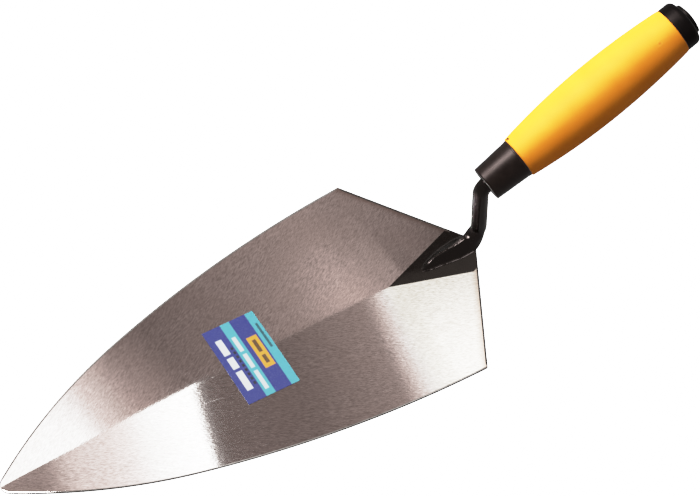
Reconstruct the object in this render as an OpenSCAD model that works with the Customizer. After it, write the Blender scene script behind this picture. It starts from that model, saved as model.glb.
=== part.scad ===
// Brick trowel: a ground steel blade, a cranked steel shank welded to its heel,
// and a two-material handle with a ferrule, an end cap and a plug.
//
// Frame: the origin is the heel point of the blade, on its flat underside.
// +X runs from the blade's tip towards the handle, +Z is up, and Y = 0 is the
// plane of symmetry. Everything is in millimetres.

/* [Blade] */
// Length from the heel point to the tip
blade_len = 280; // [265:1:300]
// Width across the shoulders
blade_w = 140; // [130:1:150]
// Distance from the heel point to the line across the shoulders
heel_depth = 40.7; // [36:0.1:45]
// Thickness of the centre ridge at the heel
ridge_t = 2.2; // [2:0.1:3]
// Thickness of the centre ridge at the tip
tip_t = 1.1; // [1:0.1:1.6]
// Thickness at the shoulders
shoulder_t = 1.1; // [0.9:0.1:1.5]
// Radius of the rounded tip
tip_r = 5.6; // [4:0.1:9]
// Radius of the flatter rear stretch of each side
side_r = 613; // [560:1:900]
// Inward slant of the side where it leaves the shoulder, in degrees
side_slant = 2; // [1:0.1:3]
// Share of the blade's length, from the heel, where the side begins to turn in faster
side_turn = 0.69; // [0.62:0.01:0.72]

/* [Shank] */
// Diameter of the round bar
bar_d = 8.4; // [7:0.1:9]
// Distance of the upright neck's axis behind the heel point
neck_x = 1.7; // [1:0.1:3]
// Centreline radius of the bend below the handle
top_bend_r = 6.5; // [5.5:0.5:8]
// Centreline radius of the bend above the foot
foot_bend_r = 9; // [8:0.5:11]
// Length of the foot along the blade
foot_len = 35; // [30:1:40]
// Width of the foot's base at its back
foot_w = 12.6; // [10:0.1:14]
// Height of the foot's crest near its front end
crest_front_h = 6.3; // [5:0.1:8]
// Height of the foot's crest at the neck
crest_back_h = 10.8; // [9:0.1:12]
// Depth of the tang inside the handle
tang_len = 78; // [60:1:90]

/* [Handle] */
// Upward tilt of the handle from the blade's plane, in degrees
tilt = 22.6; // [18:0.1:28]
// Height of the ferrule's front face above the blade's underside
ferrule_z = 44.4; // [40:0.1:50]
// Distance of the ferrule's front face behind the heel point
ferrule_x = 4.8; // [4.5:0.1:6]
// Length of the ferrule
ferrule_len = 21.4; // [18:0.1:24]
// Radius of the ferrule at its front
ferrule_front_r = 9.6; // [9.3:0.1:10.2]
// Radius of the ferrule at its back
ferrule_back_r = 11.1; // [10.8:0.1:11.4]
// Length of the grip
grip_len = 101.9; // [90:0.1:110]
// Radius of the grip at its front edge
grip_front_r = 11.7; // [11.5:0.1:12.4]
// Largest radius of the grip
grip_max_r = 15.75; // [15:0.05:17]
// Radius of the grip at its back edge
grip_back_r = 13; // [12.8:0.1:13.6]
// Share of the grip's length, from its front, where it is widest
grip_belly = 0.53; // [0.45:0.01:0.6]
// Length of the end cap
cap_len = 8.5; // [7:0.1:10]
// Radius of the end cap
cap_r = 12.8; // [12.4:0.1:13]
// Radius of the plug's head
plug_r = 8.6; // [7.5:0.1:9.5]
// Height of the plug's head
plug_h = 3.2; // [2.6:0.1:4]

/* [Label] */
// Size of the label along the blade
label_w = 29.2; // [20:0.1:34]
// Size of the label across the blade
label_l = 50.2; // [40:0.1:60]
// Thickness of the label
label_t = 0.15; // [0.1:0.05:0.3]

/* [Hidden] */
$fn = 96;

black = [0.08, 0.08, 0.08];
yellow = [0.95, 0.75, 0.15];
steel = [0.66, 0.64, 0.61];
weld_black = [0.16, 0.16, 0.16];
blue = [0.15, 0.35, 0.75];

// Blade outline: each side is a wide arc from the shoulder and a tighter arc that
// runs on from it, tangent, to the tip's own small circle.
half_w = blade_w / 2;
turn_x = -side_turn * blade_len;
side_c = [-heel_depth + side_r * sin(side_slant), half_w - side_r * cos(side_slant)];
turn_y = side_c.y + sqrt(pow(side_r, 2) - pow(turn_x - side_c.x, 2));
turn = [turn_x, turn_y];
inward = (side_c - turn) / side_r;
tip_c = [-blade_len + tip_r, 0];
reach = turn - tip_c;
nose_r = (pow(tip_r, 2) - reach * reach) / (2 * (reach * inward + tip_r));
nose_c = turn + nose_r * inward;
tip_touch = nose_c + (tip_c - nose_c) * nose_r / (nose_r - tip_r);
far = 2 * blade_len;
fine = 720;

// Slopes of the two top facets
ridge_slope = (ridge_t - tip_t) / blade_len;
ridge_at_shoulder = ridge_t - ridge_slope * heel_depth;
facet_slope = (ridge_at_shoulder - shoulder_t) / half_w;
facet_pitch = -atan(ridge_slope);
facet_roll = atan(facet_slope * cos(facet_pitch));

// Foot
bar_r = bar_d / 2;
foot_back = 0.5;
foot_wide_x = 6;
foot_nose = 1.4;
crest_front_w = 2;
crest_back_w = 4.6;
crest_l = 1;
crest_run = 7.5;
crest_front_x = foot_len - crest_run;
crest_back_x = 4;
base_t = 0.4;
weld_leg = 1.1;
weld_lean = 0.6 * weld_leg;
bead_end = 2;
foot_bend_angle = 80;
bend_lift = 0.3;

// Tang and its bend under the handle
top_turn = 90 - tilt;
corner_to_ferrule = (ferrule_x - neck_x) / cos(tilt);
corner_z = ferrule_z - corner_to_ferrule * sin(tilt);
bend_reach = top_bend_r * tan(top_turn / 2);
neck_top_z = corner_z - bend_reach;
neck_low_z = foot_bend_r + bar_r + bend_lift;
tang_slim = 0.15;
tang_r = bar_r - tang_slim;
tang_overlap = 0.8;
tang_start = bend_reach - corner_to_ferrule - tang_overlap;
tang_tip_r = 2.6;
tang_tip_len = 3;

// Handle: places along its axis, from the ferrule's front face
gap = 0.1;
ferrule_wall = 3;
ferrule_play = 0.35;
ferrule_bore_r = bar_r + ferrule_play;
ferrule_edge = 0.75;
rim_len = 1;
rim_h = 0.2;
spigot_r = 8.5;
core_r = 10.3;
grip_start = ferrule_len + gap;
grip_end = grip_start + grip_len;
belly_s = grip_start + grip_belly * grip_len;
cap_start = grip_end + gap;
cap_end = cap_start + cap_len;
cap_socket = 3.6;
core_end = cap_start + cap_socket;
tang_hole_spare = 2;
tang_hole_end = tang_len + tang_hole_spare;
tang_hole_r = tang_r + gap / 2;
stem_r = 5;
stem_grip = 14;
stem_start = core_end - stem_grip;
plug_start = cap_end + gap / 2;
grip_edge_r = 0.6;
cap_edge_r = 3.1;
plug_edge = 0.7;
plug_low_edge = 0.3;
dome_h = 1.3;

// Moulding pip: the core shows through the sleeve just behind its front edge
pip_r = 0.9;
pip_set_back = 1.3;
pip_s = grip_start + pip_set_back;
pip_angle = 146;
pip_proud = 0.4;
pip_root = core_r - 1;

// Radius of the arc from the belly that meets a radius r a distance s away
function belly_arc(s, r) = (pow(s, 2) + pow(grip_max_r - r, 2)) / (2 * (grip_max_r - r));
grip_front_arc = belly_arc(belly_s - grip_start, grip_front_r);
grip_back_arc = belly_arc(grip_end - belly_s, grip_back_r);

label_x = -137.6;
label_y = 0.4;
label_turn = -2.8;

// ---- Blade ----

// What lies outside the blade's far side: a strip beyond each of its three arcs
module beyond_side() {
  difference() {
    translate([turn_x, 0]) square(far);
    translate(side_c) circle(side_r, $fn = fine);
  }
  difference() {
    translate([tip_touch.x, 0]) square([turn_x - tip_touch.x, far]);
    translate(nose_c) circle(nose_r, $fn = fine);
  }
  difference() {
    translate([tip_touch.x - far, 0]) square(far);
    translate(tip_c) circle(tip_r);
  }
}

module blade_outline() {
  difference() {
    polygon([
      [0, 0], [-heel_depth, half_w], [-far, half_w],
      [-far, -half_w], [-heel_depth, -half_w]
    ]);
    beyond_side();
    mirror([0, 1]) beyond_side();
  }
}

// Everything above the two top facets, which can be lifted by a height
module above_facets(lift = 0) {
  for (side = [-1, 1])
    translate([0, 0, ridge_t + lift])
      rotate([-side * facet_roll, facet_pitch, 0])
        translate([-far, -far, 0]) cube([2 * far, 2 * far, far]);
}

module blade_body() {
  difference() {
    linear_extrude(ridge_t) blade_outline();
    above_facets();
  }
}

module blade() {
  color(steel) blade_body();
}

// ---- Shank ----

// Plan of the foot's base, with a narrow nose at the front and widest near the heel
module foot_plan(grow = 0) {
  nose_w = foot_nose + grow;
  wide_w = foot_w / 2 + grow;
  polygon([
    [-foot_len - grow, 0], [-foot_len + foot_nose, nose_w], [-foot_wide_x, wide_w],
    [-foot_back, 0], [-foot_wide_x, -wide_w], [-foot_len + foot_nose, -nose_w]
  ]);
}

// The foot: a ridge that stands on the blade and falls steeply at its front end
module foot() {
  hull() {
    translate([0, 0, shoulder_t]) linear_extrude(base_t) foot_plan();
    translate([-crest_front_x, -crest_front_w / 2, shoulder_t])
      cube([crest_l, crest_front_w, crest_front_h - shoulder_t]);
    translate([-crest_back_x, -crest_back_w / 2, shoulder_t])
      cube([crest_l, crest_back_w, crest_back_h - shoulder_t]);
  }
}

// A bend of round bar in the XZ plane about its own centre: it starts level with
// that centre, on its +X side, and turns upwards
module bar_bend(radius, angle) {
  rotate([90, 0, 0])
    rotate_extrude(angle = angle)
      translate([radius, 0]) circle(bar_r, $fn = 64);
}

module on_handle(s = 0) {
  translate([ferrule_x, 0, ferrule_z])
    rotate([0, top_turn, 0])
      translate([0, 0, s]) children();
}

module foot_and_neck() {
  foot();
  translate([neck_x - foot_bend_r, 0, neck_low_z])
    mirror([0, 0, 1]) bar_bend(foot_bend_r, foot_bend_angle);
  translate([neck_x, 0, neck_low_z]) cylinder(r = bar_r, h = neck_top_z - neck_low_z);
  translate([neck_x + top_bend_r, 0, neck_top_z])
    mirror([1, 0, 0]) bar_bend(top_bend_r, top_turn);
}

module tang() {
  on_handle() rotate_extrude() polygon([
    [0, tang_start], [tang_r, tang_start], [tang_r, tang_len - tang_tip_len],
    [tang_tip_r, tang_len], [0, tang_len]
  ]);
}

module shank() {
  color(black) intersection() {
    union() {
      foot_and_neck();
      tang();
    }
    above_facets();
  }
}

// Bead that joins the foot to the blade all round its base
module foot_weld() {
  color(weld_black) difference() {
    intersection() {
      hull() {
        translate([0, 0, shoulder_t]) linear_extrude(ridge_t - shoulder_t) foot_plan(weld_leg);
        translate([0, 0, ridge_t]) linear_extrude(weld_leg) foot_plan(-weld_lean);
      }
      above_facets();
    }
    foot_and_neck();
    translate([-bead_end, -far, 0]) cube(2 * far);
  }
}

// ---- Handle ----

module ferrule() {
  rim_start = ferrule_len - rim_len;
  color(black) on_handle() rotate_extrude() polygon([
    [ferrule_bore_r, 0], [ferrule_front_r - ferrule_edge, 0],
    [ferrule_front_r - ferrule_edge / 3, ferrule_edge / 3], [ferrule_front_r, ferrule_edge],
    [ferrule_back_r - rim_h, rim_start],
    [ferrule_back_r, rim_start + rim_h], [ferrule_back_r, ferrule_len],
    [spigot_r + gap, ferrule_len], [spigot_r + gap, ferrule_wall], [ferrule_bore_r, ferrule_wall]
  ]);
}

module pip(r) {
  rotate([0, 0, pip_angle])
    translate([pip_root, 0, pip_s])
      rotate([0, 90, 0]) cylinder(r = r, h = grip_front_r + pip_proud - pip_root, $fn = 32);
}

module handle_core() {
  color(black) on_handle() {
    rotate_extrude() polygon([
      [0, tang_hole_end], [tang_hole_r, tang_hole_end], [tang_hole_r, ferrule_wall + gap],
      [spigot_r, ferrule_wall + gap], [spigot_r, grip_start], [core_r, grip_start],
      [core_r, core_end], [stem_r + gap / 2, core_end], [stem_r + gap / 2, stem_start],
      [0, stem_start]
    ]);
    pip(pip_r);
  }
}

// Half section of the grip's outside: one arc from its front edge to the belly,
// another from the belly to its back edge
module grip_section() {
  intersection() {
    translate([grip_max_r - grip_front_arc, belly_s]) circle(grip_front_arc, $fn = fine);
    translate([0, grip_start]) square([grip_max_r, belly_s - grip_start]);
  }
  intersection() {
    translate([grip_max_r - grip_back_arc, belly_s]) circle(grip_back_arc, $fn = fine);
    translate([0, belly_s]) square([grip_max_r, grip_end - belly_s]);
  }
}

module grip_sleeve() {
  edge = grip_edge_r;
  color(yellow) on_handle() difference() {
    rotate_extrude() difference() {
      grip_section();
      square([core_r + gap, grip_end + 1]);
      polygon([
        [grip_front_r - edge, grip_start - 1], [grip_front_r - edge, grip_start],
        [grip_front_r + edge / 4, grip_start + edge], [grip_max_r, grip_start - 1]
      ]);
      polygon([
        [grip_back_r - edge, grip_end + 1], [grip_back_r - edge, grip_end],
        [grip_back_r + edge / 4, grip_end - edge], [grip_max_r, grip_end + 1]
      ]);
    }
    pip(pip_r + gap / 2);
  }
}

module end_cap() {
  color(black) on_handle() rotate_extrude() {
    difference() {
      translate([0, cap_start]) square([cap_r, cap_len]);
      translate([cap_r - cap_edge_r, cap_end - cap_edge_r]) difference() {
        square(2 * cap_edge_r);
        circle(cap_edge_r);
      }
      translate([0, cap_start - 1]) square([core_r + gap / 2, core_end + gap - cap_start + 1]);
      square([stem_r + gap, cap_end + 1]);
    }
  }
}

module end_plug() {
  dome_a = plug_r - plug_edge;
  dome_r = (pow(dome_a, 2) + pow(dome_h, 2)) / (2 * dome_h);
  head_top = plug_start + plug_h;
  color(black) on_handle() rotate_extrude() {
    translate([0, stem_start + gap]) square([stem_r, plug_start - stem_start - gap]);
    polygon([
      [0, plug_start], [plug_r - plug_low_edge, plug_start], [plug_r, plug_start + plug_low_edge],
      [plug_r, head_top - dome_h - plug_edge], [dome_a, head_top - dome_h],
      [0, head_top - dome_h]
    ]);
    intersection() {
      translate([0, head_top - dome_r]) circle(dome_r, $fn = fine);
      translate([0, head_top - dome_h]) square([dome_a, dome_h + 1]);
    }
  }
}

// ---- Label ----

// A thin sticker laid over the ridge, a little askew
module label() {
  color(blue) difference() {
    intersection() {
      translate([label_x, label_y]) rotate(label_turn)
        linear_extrude(ridge_t + 1) square([label_w, label_l], center = true);
      above_facets();
    }
    above_facets(label_t);
  }
}

blade();
shank();
foot_weld();
ferrule();
handle_core();
grip_sleeve();
end_cap();
end_plug();
label();
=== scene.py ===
"""Brick trowel: ground steel blade, black cranked shank, ferrule, yellow grip, butt cap and plug.

Everything is in metres, in the frame of the CAD model: the origin is the heel point of the blade on its
flat underside, +X runs from the tip towards the handle, +Z is up and Y = 0 is the plane of symmetry.
"""

import math

import bmesh
import bpy
from mathutils import Matrix, Vector, noise


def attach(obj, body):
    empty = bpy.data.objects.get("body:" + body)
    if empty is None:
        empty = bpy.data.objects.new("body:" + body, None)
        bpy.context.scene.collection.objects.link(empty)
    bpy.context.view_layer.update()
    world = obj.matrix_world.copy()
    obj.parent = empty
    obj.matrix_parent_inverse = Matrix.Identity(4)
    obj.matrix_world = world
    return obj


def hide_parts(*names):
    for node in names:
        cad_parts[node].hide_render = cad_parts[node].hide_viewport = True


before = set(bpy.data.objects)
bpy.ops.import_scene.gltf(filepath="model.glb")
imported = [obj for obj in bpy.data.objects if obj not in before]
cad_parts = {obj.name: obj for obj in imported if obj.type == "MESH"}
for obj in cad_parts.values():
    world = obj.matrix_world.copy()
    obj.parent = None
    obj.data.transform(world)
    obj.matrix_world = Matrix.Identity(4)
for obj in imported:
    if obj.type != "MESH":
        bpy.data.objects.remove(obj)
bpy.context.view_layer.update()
MM = 0.001

# ---------------------------------------------------------------- sizes, in mm
# Blade
BLADE_LEN = 280.0
HALF_W = 70.0
HEEL_DEPTH = 40.7
RIDGE_T = 2.2
TIP_T = 1.1
SHOULDER_T = 1.1
TIP_R = 5.6
SIDE_R = 613.0
SIDE_SLANT = math.radians(2.0)
SIDE_TURN = 0.69

# Shank
BAR_R = 4.2
NECK_X = 1.7
TOP_BEND_R = 6.5
FOOT_BEND_R = 9.0
FOOT_LEN = 35.0
TANG_LEN = 78.0

# Handle, as distances along its axis from the ferrule's front face
TILT = math.radians(22.6)
FERRULE_X = 4.8
FERRULE_Z = 44.4
FERRULE_LEN = 21.4
FERRULE_FRONT_R = 9.6
FERRULE_BACK_R = 11.1
SPIGOT_R = 8.6
GRIP_START = 21.5
GRIP_END = 123.4
GRIP_FRONT_R = 11.7
GRIP_MAX_R = 15.75
GRIP_BACK_R = 13.0
GRIP_BELLY = GRIP_START + 0.53 * (GRIP_END - GRIP_START)
CORE_R = 10.4
CAP_START = 123.5
CAP_END = 132.0
CAP_R = 12.8
PLUG_R = 8.6
PLUG_START = 132.05
PLUG_H = 3.2
PLUG_STEM_R = 5.0

# Label
LABEL_W = 29.2
LABEL_L = 50.2
LABEL_X = -137.6
LABEL_Y = 0.4
LABEL_TURN = math.radians(-2.8)
LABEL_T = 0.15

RIDGE_SLOPE = (RIDGE_T - TIP_T) / BLADE_LEN
FACET_SLOPE = (RIDGE_T - RIDGE_SLOPE * HEEL_DEPTH - SHOULDER_T) / HALF_W
HEEL_COS = HALF_W / math.hypot(HALF_W, HEEL_DEPTH)


# ---------------------------------------------------------------- node graphs
class Graph:
    """Short calls that add nodes to a material's, light's or world's node tree."""

    def __init__(self, tree):
        self.tree = tree
        tree.nodes.clear()

    def node(self, kind, props=None, **inputs):
        n = self.tree.nodes.new("ShaderNode" + kind)
        for key, value in (props or {}).items():
            setattr(n, key, value)
        for key, value in inputs.items():
            self.put(n.inputs[key.replace("_", " ")], value)
        return n

    def put(self, socket, value):
        if isinstance(value, bpy.types.NodeSocket):
            self.tree.links.new(value, socket)
        elif isinstance(value, tuple) and len(value) == 3 and socket.type == "RGBA":
            socket.default_value = (*value, 1.0)
        else:
            socket.default_value = value

    def math(self, operation, a, b=0.0):
        n = self.node("Math", {"operation": operation})
        for socket, value in zip(n.inputs, (a, b)):
            self.put(socket, value)
        return n.outputs[0]

    def mix(self, factor, a, b):
        n = self.node("Mix", {"data_type": "RGBA"})
        for index, value in ((0, factor), (6, a), (7, b)):
            self.put(n.inputs[index], value)
        return n.outputs[2]

    def blend(self, factor, a, b):
        n = self.node("Mix", {"data_type": "FLOAT"})
        for index, value in ((0, factor), (2, a), (3, b)):
            self.put(n.inputs[index], value)
        return n.outputs[0]

    def span(self, value, lo, hi, out_lo=0.0, out_hi=1.0, kind="SMOOTHSTEP"):
        n = self.node("MapRange", {"interpolation_type": kind})
        for index, v in enumerate((value, lo, hi, out_lo, out_hi)):
            self.put(n.inputs[index], v)
        return n.outputs[0]

    def position(self):
        """The place of the shaded point in the object's frame, as x, y and z sockets."""
        coord = self.node("TexCoord").outputs["Object"]
        xyz = self.node("SeparateXYZ", Vector=coord)
        return xyz.outputs[0], xyz.outputs[1], xyz.outputs[2]

    def vector(self, x, y, z):
        return self.node("CombineXYZ", X=x, Y=y, Z=z).outputs[0]

    def noise(self, vector, scale, detail=2.0, rough=0.5):
        n = self.node("TexNoise", Vector=vector, Scale=scale, Detail=detail, Roughness=rough)
        return n.outputs[0]

    def bump(self, height, distance, normal=None):
        n = self.node("Bump", Height=height, Distance=distance)
        if normal is not None:
            self.put(n.inputs["Normal"], normal)
        return n.outputs[0]

    def band(self, value, lo, hi, edge):
        """1 where the value lies between lo and hi, with a narrow soft edge."""
        up = self.span(value, lo - edge, lo + edge, kind="LINEAR")
        down = self.span(value, hi - edge, hi + edge, 1.0, 0.0, kind="LINEAR")
        return self.math("MULTIPLY", up, down)


def new_material(name):
    m = bpy.data.materials.new(name)
    m.use_nodes = True
    return m, Graph(m.node_tree)


def finish_material(g, **inputs):
    """Ends a graph in one Principled surface with these inputs."""
    surface = g.node("BsdfPrincipled", **inputs)
    g.node("OutputMaterial", Surface=surface.outputs[0])


# How far apart the two sides' streaks lie in the noise
SIDE_LAYER = 37.0


def brushed(g, x, y, z, turn, length, width, side):
    """Fine streaks of the given length and width, in mm, turned from the X axis towards the sides. The two
    sides get different streaks."""
    along = g.math("ADD", g.math("MULTIPLY", x, math.cos(turn)), g.math("MULTIPLY", y, math.sin(turn)))
    across = g.math("SUBTRACT", g.math("MULTIPLY", y, math.cos(turn)), g.math("MULTIPLY", x, math.sin(turn)))
    layer = g.math("ADD", g.math("MULTIPLY", z, 1.0 / width / MM), g.math("MULTIPLY", side, SIDE_LAYER))
    return g.vector(
        g.math("MULTIPLY", along, 1.0 / length / MM), g.math("MULTIPLY", across, 1.0 / width / MM), layer
    )


def steel_material():
    """Ground steel: fine streaks that splay outwards from the ridge, with haze, a few deeper scratches, and a
    colour that turns darker and browner within about 5 mm of the heel edges."""
    m, g = new_material("ground_steel")
    x, y, z = g.position()
    spread = g.math("ABSOLUTE", y)
    side = g.math("SIGN", y)
    fine = g.noise(brushed(g, x, spread, z, math.radians(14), 1.9, 0.42, side), 1.0, 3.0, 0.65)
    cross = g.noise(brushed(g, x, spread, z, math.radians(38), 3.0, 0.6, side), 1.0, 2.0, 0.6)
    cloud = g.noise(g.vector(x, y, z), 34.0, 3.0, 0.55)
    scratch = g.noise(brushed(g, x, spread, z, math.radians(12), 14.0, 0.5, side), 1.0, 1.0, 0.5)
    scratch = g.span(scratch, 0.73, 0.80)
    grain = g.blend(0.45, fine, cross)
    shade = g.span(grain, 0.37, 0.63, kind="LINEAR")
    colour = g.mix(shade, (0.40, 0.38, 0.365), (0.83, 0.81, 0.795))
    colour = g.mix(g.math("MULTIPLY", g.span(cloud, 0.35, 0.7), 0.3), colour, (0.56, 0.52, 0.49))
    # Darker and browner within about 5 mm of the heel edges
    past_heel = g.math("ADD", x, g.math("MULTIPLY", spread, HEEL_DEPTH / HALF_W))
    from_heel = g.math("MULTIPLY", past_heel, -HEEL_COS)
    tint = g.span(from_heel, 0.0004, 0.0052, 1.0, 0.0)
    colour = g.mix(g.math("MULTIPLY", tint, 0.72), colour, (0.27, 0.20, 0.17))
    rough = g.span(grain, 0.30, 0.70, 0.055, 0.03, kind="LINEAR")
    rough = g.math("ADD", rough, g.math("MULTIPLY", scratch, 0.06))
    normal = g.bump(grain, 0.0000012)
    coarse = g.noise(brushed(g, x, spread, z, math.radians(22), 1.7, 0.7, side), 1.0, 1.0, 0.5)
    normal = g.bump(coarse, 0.0000042, normal)
    normal = g.bump(g.noise(g.vector(x, y, z), 45.0, 1.0, 0.4), 0.000005, normal)
    finish_material(g, Base_Color=colour, Metallic=1.0, Roughness=rough, Normal=normal)
    return m


def edge_material():
    """The cut edge of the blade and a narrow strip of its top face along the heel: darker and rougher than the
    ground faces.
    """
    m, g = new_material("cut_edge_steel")
    x, y, z = g.position()
    nicks = g.noise(g.vector(x, y, z), 900.0, 3.0, 0.6)
    colour = g.mix(nicks, (0.015, 0.013, 0.012), (0.065, 0.058, 0.053))
    rough = g.span(nicks, 0.3, 0.7, 0.5, 0.7)
    finish_material(g, Base_Color=colour, Metallic=0.85, Roughness=rough, Normal=g.bump(nicks, 0.00004))
    return m


def lacquer_material(name, rough_lo, rough_hi, lumps, orange_peel, gloss):
    """Dipped black lacquer over scale: glossy, with orange peel and small craters."""
    m, g = new_material(name)
    x, y, z = g.position()
    place = g.vector(x, y, z)
    peel = g.noise(place, 620.0, 2.0, 0.5)
    lump = g.noise(place, 190.0, 3.0, 0.6)
    dust = g.span(g.noise(place, 2400.0, 1.0, 0.5), 0.74, 0.84)
    colour = g.mix(lump, (0.0022, 0.0020, 0.0018), (0.005, 0.0042, 0.0036))
    colour = g.mix(g.math("MULTIPLY", dust, 0.3), colour, (0.03, 0.027, 0.025))
    rough = g.span(peel, 0.3, 0.7, rough_lo, rough_hi)
    normal = g.bump(lump, lumps)
    normal = g.bump(peel, orange_peel, normal)
    finish_material(g, Base_Color=colour, Roughness=rough, Specular_IOR_Level=gloss,
                    Specular_Tint=(1.0, 0.82, 0.80), Normal=normal)
    return m


def plastic_material(name, dark, light, rough_lo, rough_hi, texture, gloss=0.5):
    """Black moulded plastic with fine mould grain and faint rubbed patches."""
    m, g = new_material(name)
    x, y, z = g.position()
    place = g.vector(x, y, z)
    grain = g.noise(place, 2600.0, 2.0, 0.6)
    patch = g.noise(place, 150.0, 3.0, 0.6)
    colour = g.mix(g.span(patch, 0.35, 0.7), dark, light)
    rough = g.span(patch, 0.3, 0.7, rough_lo, rough_hi)
    finish_material(g, Base_Color=colour, Roughness=rough, Specular_IOR_Level=gloss,
                    Specular_Tint=(1.0, 0.80, 0.78), Normal=g.bump(grain, texture))
    return m


def grip_material(gate):
    """Matt elastomer in amber, with a soft pebble texture and the ring of a moulding gate."""
    m, g = new_material("amber_elastomer")
    x, y, z = g.position()
    place = g.vector(x, y, z)
    pebble = g.noise(place, 2300.0, 2.0, 0.55)
    cloud = g.noise(place, 70.0, 3.0, 0.5)
    colour = g.mix(g.span(cloud, 0.3, 0.7), (0.83, 0.252, 0.015), (0.87, 0.278, 0.019))
    colour = g.mix(g.math("MULTIPLY", g.span(pebble, 0.55, 0.8), 0.25), colour, (0.62, 0.17, 0.018))
    away = g.node("VectorMath", {"operation": "DISTANCE"})
    g.put(away.inputs[0], place)
    away.inputs[1].default_value = gate
    ring = g.band(away.outputs["Value"], 0.0011, 0.0015, 0.00025)
    centre = g.span(away.outputs["Value"], 0.0003, 0.0007, 1.0, 0.0)
    colour = g.mix(g.math("MULTIPLY", ring, 0.22), colour, (0.90, 0.36, 0.05))
    colour = g.mix(g.math("MULTIPLY", centre, 0.5), colour, (0.50, 0.11, 0.012))
    relief = g.math("SUBTRACT", ring, g.math("MULTIPLY", centre, 1.5))
    normal = g.bump(pebble, 0.00003)
    normal = g.bump(relief, 0.00006, normal)
    finish_material(g, Base_Color=colour, Roughness=g.span(pebble, 0.3, 0.7, 0.52, 0.66),
                    Specular_IOR_Level=0.20, Normal=normal)
    return m


def label_material():
    """Printed film: bands of blue and turquoise, an orange panel and plain bars."""
    m, g = new_material("printed_film")
    x, y, z = g.position()
    c, s = math.cos(LABEL_TURN), math.sin(LABEL_TURN)
    dx = g.math("SUBTRACT", x, LABEL_X * MM)
    dy = g.math("SUBTRACT", y, LABEL_Y * MM)
    p = g.math("ADD", g.math("MULTIPLY", dx, c), g.math("MULTIPLY", dy, s))
    q = g.math("SUBTRACT", g.math("MULTIPLY", dy, c), g.math("MULTIPLY", dx, s))
    p = g.math("ADD", g.math("MULTIPLY", p, 1.0 / LABEL_W / MM), 0.5)
    q = g.math("SUBTRACT", 0.5, g.math("MULTIPLY", q, 1.0 / LABEL_L / MM))
    blue = (0.020, 0.028, 0.175)
    turquoise = (0.062, 0.30, 0.37)
    white = (0.56, 0.61, 0.64)
    dark = (0.003, 0.003, 0.008)
    amber = (0.52, 0.27, 0.022)

    def box(colour, paint, p0, p1, q0, q1, strength=1.0, edge=0.006):
        inside = g.math("MULTIPLY", g.band(p, p0, p1, edge), g.band(q, q0, q1, edge))
        return g.mix(g.math("MULTIPLY", inside, strength), colour, paint)

    colour = g.mix(g.band(p, 0.35, 0.53, 0.006), blue, turquoise)
    colour = g.mix(g.band(p, 0.84, 1.2, 0.006), colour, turquoise)
    for q0, q1 in ((0.16, 0.37), (0.41, 0.56), (0.60, 0.85)):
        colour = box(colour, white, 0.115, 0.235, q0, q1)
    for k in range(9):
        colour = box(colour, dark, 0.285, 0.33, 0.30 + 0.06 * k, 0.335 + 0.06 * k)
    for q0, q1 in ((0.20, 0.40), (0.44, 0.63), (0.67, 0.92)):
        colour = box(colour, white, 0.40, 0.475, q0, q1, 0.8)
    colour = box(colour, amber, 0.615, 0.81, 0.28, 0.70)
    for q0, q1 in ((0.33, 0.50), (0.54, 0.65)):
        colour = box(colour, dark, 0.68, 0.75, q0, q1, 0.85)
    colour = box(colour, dark, 0.905, 0.95, 0.16, 0.50, 0.75)
    print_grain = g.noise(g.vector(x, y, z), 1500.0, 2.0, 0.5)
    colour = g.mix(g.math("MULTIPLY", g.span(print_grain, 0.45, 0.75), 0.04), colour, (0.5, 0.55, 0.65))
    ripple = g.noise(g.vector(x, y, z), 160.0, 2.0, 0.5)
    finish_material(g, Base_Color=colour, Roughness=g.span(print_grain, 0.3, 0.7, 0.38, 0.5),
                    Specular_IOR_Level=0.35, Normal=g.bump(ripple, 0.00002))
    return m


# ---------------------------------------------------------------- mesh helpers
# Edges shorter than this, in mm, are closed up
SHORTEST_EDGE = 0.005


def make_mesh(name, verts, faces, materials, face_slots=None, sharp_angle=38.0, smooth=None):
    """A mesh from points in mm. Edges sharper than the angle stay crisp, and so do the faces that aren't
    smooth."""
    mesh = bpy.data.meshes.new(name)
    mesh.from_pydata([tuple(c * MM for c in v) for v in verts], [], faces)
    for material in materials:
        mesh.materials.append(material)
    if face_slots:
        mesh.polygons.foreach_set("material_index", face_slots)
    mesh.polygons.foreach_set("use_smooth", smooth or [True] * len(mesh.polygons))
    mesh.set_sharp_from_angle(angle=math.radians(sharp_angle))
    mesh.validate()
    shape = bmesh.new()
    shape.from_mesh(mesh)
    bmesh.ops.dissolve_degenerate(shape, dist=SHORTEST_EDGE * MM, edges=shape.edges)
    in_mid_edge = [v for v in shape.verts if len(v.link_edges) == 2]
    bmesh.ops.dissolve_verts(shape, verts=in_mid_edge)
    if shape.calc_volume(signed=True) < 0:
        bmesh.ops.reverse_faces(shape, faces=shape.faces)
    shape.to_mesh(mesh)
    shape.free()
    obj = bpy.data.objects.new(name, mesh)
    bpy.context.scene.collection.objects.link(obj)
    return obj


def add_piece(obj, slot, *nodes):
    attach(obj, "root")
    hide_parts(*nodes)


def on_handle(s, r, turn):
    """A point of the handle: s along its axis, r from it, and a turn that starts at its underside."""
    down, across = r * math.cos(turn), r * math.sin(turn)
    return (
        FERRULE_X + s * math.cos(TILT) + down * math.sin(TILT),
        across,
        FERRULE_Z + s * math.sin(TILT) - down * math.cos(TILT),
    )


def blend_curve(points, x):
    """Straight-line value at x from a list of (x, value)."""
    if x <= points[0][0]:
        return points[0][1]
    for (x0, v0), (x1, v1) in zip(points, points[1:]):
        if x <= x1:
            return v0 + (v1 - v0) * (x - x0) / (x1 - x0)
    return points[-1][1]


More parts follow.
